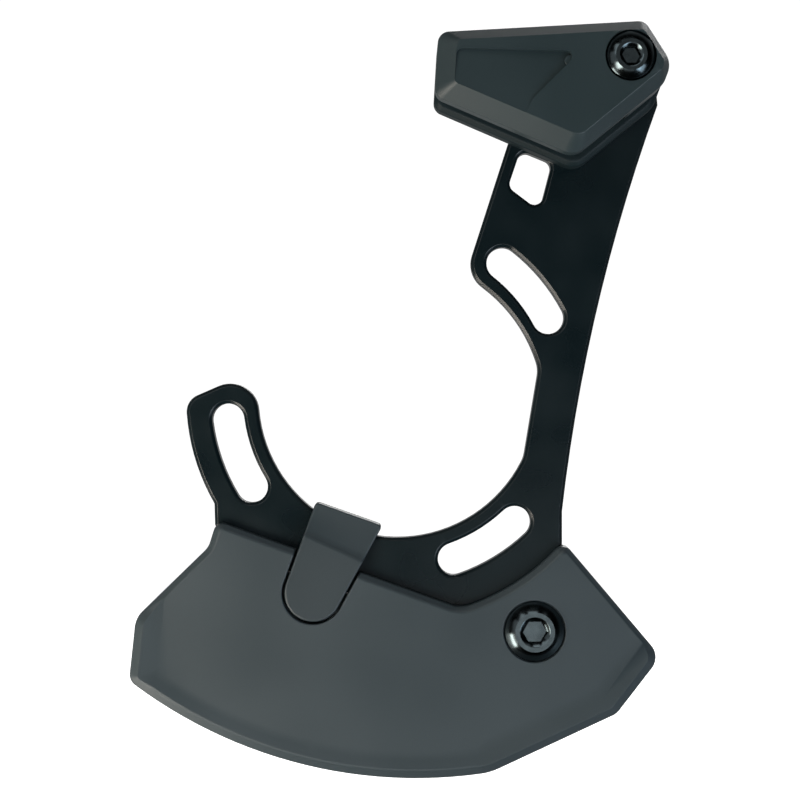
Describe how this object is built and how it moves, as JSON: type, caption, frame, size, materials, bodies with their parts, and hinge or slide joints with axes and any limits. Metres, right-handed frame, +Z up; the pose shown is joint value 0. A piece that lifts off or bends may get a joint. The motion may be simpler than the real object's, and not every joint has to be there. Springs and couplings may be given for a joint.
{
  "type": "bicycle chain guide",
  "caption": "Chain guide for a single chainring: slotted C-shaped backplate, faceted upper guide with a chain channel, and a curved bash guard bolted and clipped on below.",
  "frame": {"origin": "on the crank axis, in the plane of the backplate's inboard face", "axes": "+X forward on the bicycle, +Z up, +Y inboard towards the frame, so the guide is seen from outboard along +Y"},
  "size_m": [0.1023, 0.0258, 0.1431],
  "materials": {
    "anodised_plate": "fine-blasted, black anodised, satin",
    "guide_nylon": "moulded nylon, fine texture, dark grey",
    "guard_nylon": "moulded nylon, satin, mid grey",
    "black_steel": "black oxide, glossy from oil"
  },
  "bodies": {
    "root": {"backplate": "anodised_plate", "guide_inner": "guide_nylon", "guide_cap": "guide_nylon", "cap_sleeve": "black_steel", "cap_bolt": "black_steel", "guide_screw_1": "black_steel", "guide_screw_2": "black_steel", "bash_guard": "guard_nylon", "guard_bolt": "black_steel", "guard_clip": "guard_nylon"}
  },
  "joints": []
}
